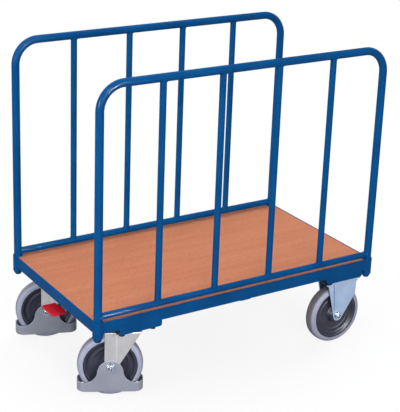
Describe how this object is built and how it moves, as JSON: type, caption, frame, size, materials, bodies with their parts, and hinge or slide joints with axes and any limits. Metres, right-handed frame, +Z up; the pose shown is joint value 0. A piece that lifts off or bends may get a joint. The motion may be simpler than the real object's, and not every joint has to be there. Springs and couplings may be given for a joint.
{
  "type": "tubular side trolley",
  "caption": "Platform trolley with a wooden deck in a steel frame, plug-in tubular sides along both long edges, braked swivel casters and fixed casters.",
  "frame": {"origin": "on the floor below the middle of the deck", "axes": "+Z up; +X along the trolley towards the fixed casters; +Y across it, away from the front side"},
  "size_m": [1.0458, 0.594, 1.0115],
  "materials": {
    "blue_paint": "satin powder coat",
    "deck_wood": "matt sealed beech decor",
    "zinc_steel": "bright zinc plated",
    "bright_steel": "ground",
    "tyre_grey": "matt solid rubber",
    "rim_black": "moulded, matt",
    "guard_grey": "moulded, fine grain",
    "pedal_red": "moulded, satin"
  },
  "bodies": {
    "chassis": {"front_rail": "blue_paint", "back_rail": "blue_paint", "swivel_end_rail": "blue_paint", "fixed_end_rail": "blue_paint", "deck_panel": "deck_wood", "deck_screws": "zinc_steel", "corner_sockets": "blue_paint", "swivel_channel": "blue_paint", "fixed_channel": "blue_paint", "mid_beam": "blue_paint", "caster_bolts": "zinc_steel", "caster_nuts": "zinc_steel", "shaft_brackets": "zinc_steel", "front_swivel_plate": "zinc_steel", "back_swivel_plate": "zinc_steel", "front_king_pin": "bright_steel", "back_king_pin": "bright_steel", "front_fixed_bracket": "zinc_steel", "back_fixed_bracket": "zinc_steel", "fixed_axles": "zinc_steel", "fixed_axle_nuts": "zinc_steel", "fixed_axle_sleeves": "bright_steel"},
    "brake_pedal": {"brake_shaft": "bright_steel", "brake_fingers": "zinc_steel", "pedal_arm": "zinc_steel", "pedal_pad": "pedal_red"},
    "front_side": {"front_hoop": "blue_paint", "front_lower_bar": "blue_paint", "front_uprights": "blue_paint"},
    "front_swivel": {"front_fork": "zinc_steel", "front_swivel_balls": "bright_steel", "front_foot_guard": "guard_grey", "front_swivel_axle": "zinc_steel", "front_swivel_axle_nut": "zinc_steel", "front_swivel_sleeve": "bright_steel"},
    "front_swivel_wheel": {"front_swivel_rim": "rim_black", "front_swivel_tyre": "tyre_grey", "front_swivel_bearings": "bright_steel"},
    "front_fixed_wheel": {"front_fixed_rim": "rim_black", "front_fixed_tyre": "tyre_grey", "front_fixed_bearings": "bright_steel"},
    "front_plunger": {"front_brake_plunger": "bright_steel"},
    "back_side": {"back_hoop": "blue_paint", "back_lower_bar": "blue_paint", "back_uprights": "blue_paint"},
    "back_swivel": {"back_fork": "zinc_steel", "back_swivel_balls": "bright_steel", "back_foot_guard": "guard_grey", "back_swivel_axle": "zinc_steel", "back_swivel_axle_nut": "zinc_steel", "back_swivel_sleeve": "bright_steel"},
    "back_swivel_wheel": {"back_swivel_rim": "rim_black", "back_swivel_tyre": "tyre_grey", "back_swivel_bearings": "bright_steel"},
    "back_fixed_wheel": {"back_fixed_rim": "rim_black", "back_fixed_tyre": "tyre_grey", "back_fixed_bearings": "bright_steel"},
    "back_plunger": {"back_brake_plunger": "bright_steel"}
  },
  "joints": [
    {"name": "pedal_press", "type": "hinge", "parent": "chassis", "child": "brake_pedal", "pos_m": [-0.344, 0, 0.262], "axis": [0, -1, 0], "range_deg": [0, 10], "stiffness_Nm_per_rad": 1.8, "springref_deg": -20.05},
    {"name": "front_side_lift", "type": "slide", "parent": "chassis", "child": "front_side", "axis": [0, 0, 1], "range_m": [0, 0.05]},
    {"name": "front_caster_swivel", "type": "hinge", "parent": "chassis", "child": "front_swivel", "pos_m": [-0.36, -0.222, 0.217], "axis": [0, 0, 1], "continuous": true},
    {"name": "front_swivel_wheel_spin", "type": "hinge", "parent": "front_swivel", "child": "front_swivel_wheel", "pos_m": [-0.41346, -0.19476, 0.1], "axis": [0.454, 0.891, 0], "continuous": true},
    {"name": "front_fixed_wheel_spin", "type": "hinge", "parent": "chassis", "child": "front_fixed_wheel", "pos_m": [0.404, -0.233, 0.1], "axis": [0, 1, 0], "continuous": true},
    {"name": "front_plunger_push", "type": "slide", "parent": "chassis", "child": "front_plunger", "axis": [0, 0, -1], "range_m": [0, 0.0032]},
    {"name": "back_side_lift", "type": "slide", "parent": "chassis", "child": "back_side", "axis": [0, 0, 1], "range_m": [0, 0.05]},
    {"name": "back_caster_swivel", "type": "hinge", "parent": "chassis", "child": "back_swivel", "pos_m": [-0.36, 0.222, 0.217], "axis": [0, 0, 1], "continuous": true},
    {"name": "back_swivel_wheel_spin", "type": "hinge", "parent": "back_swivel", "child": "back_swivel_wheel", "pos_m": [-0.41602, 0.2435, 0.1], "axis": [0.3584, 0.9336, 0], "continuous": true},
    {"name": "back_fixed_wheel_spin", "type": "hinge", "parent": "chassis", "child": "back_fixed_wheel", "pos_m": [0.404, 0.233, 0.1], "axis": [0, 1, 0], "continuous": true},
    {"name": "back_plunger_push", "type": "slide", "parent": "chassis", "child": "back_plunger", "axis": [0, 0, -1], "range_m": [0, 0.0032]}
  ],
  "couplings": [
    {"joint": "front_plunger_push", "follows": "pedal_press", "m_per_rad": 0.0183},
    {"joint": "back_plunger_push", "follows": "pedal_press", "m_per_rad": 0.0183}
  ]
}
